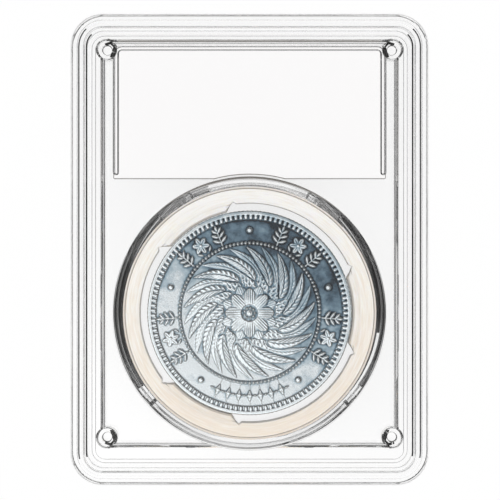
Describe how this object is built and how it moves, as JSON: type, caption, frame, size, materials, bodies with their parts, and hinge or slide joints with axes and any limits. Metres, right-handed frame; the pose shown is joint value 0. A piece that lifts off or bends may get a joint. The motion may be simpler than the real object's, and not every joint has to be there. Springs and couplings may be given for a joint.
{
  "type": "coin slab holder",
  "caption": "Clear two-shell coin slab: snap-together shells close on a soft pronged ring that grips a round coin, with a blank label card above it.",
  "frame": {"origin": "centre of the underside of the back, on the plane that the slab lies on", "axes": "+Z out of the front window, +Y towards the label end, +X to the right seen from the front"},
  "size_m": [0.0664, 0.0874, 0.008],
  "materials": {
    "clear_shell": "clear moulded polystyrene, polished",
    "soft_ring": "translucent cream, satin, moulded",
    "toned_silver": "struck silver with blue-grey toning",
    "white_card": "uncoated white card, cut edge"
  },
  "bodies": {
    "back": {"back_shell": "clear_shell"},
    "front": {"front_shell": "clear_shell"},
    "ring": {"coin_ring": "soft_ring"},
    "coin": {"coin": "toned_silver"},
    "label": {"label_card": "white_card"}
  },
  "joints": [
    {"name": "front_lift", "type": "slide", "parent": "back", "child": "front", "axis": [0, 0, 1], "range_m": [0, 0.04]},
    {"name": "label_lift", "type": "slide", "parent": "back", "child": "label", "axis": [0, 0, 1], "range_m": [0, 0.024]},
    {"name": "ring_lift", "type": "slide", "parent": "back", "child": "ring", "axis": [0, 0, 1], "range_m": [0, 0.02]},
    {"name": "coin_turn", "type": "hinge", "parent": "ring", "child": "coin", "pos_m": [0, -0.0118, 0.004], "axis": [0, 0, 1], "continuous": true}
  ],
  "couplings": [
    {"joint": "label_lift", "follows": "front_lift", "ratio": 0.6},
    {"joint": "ring_lift", "follows": "front_lift", "ratio": 0.5}
  ]
}
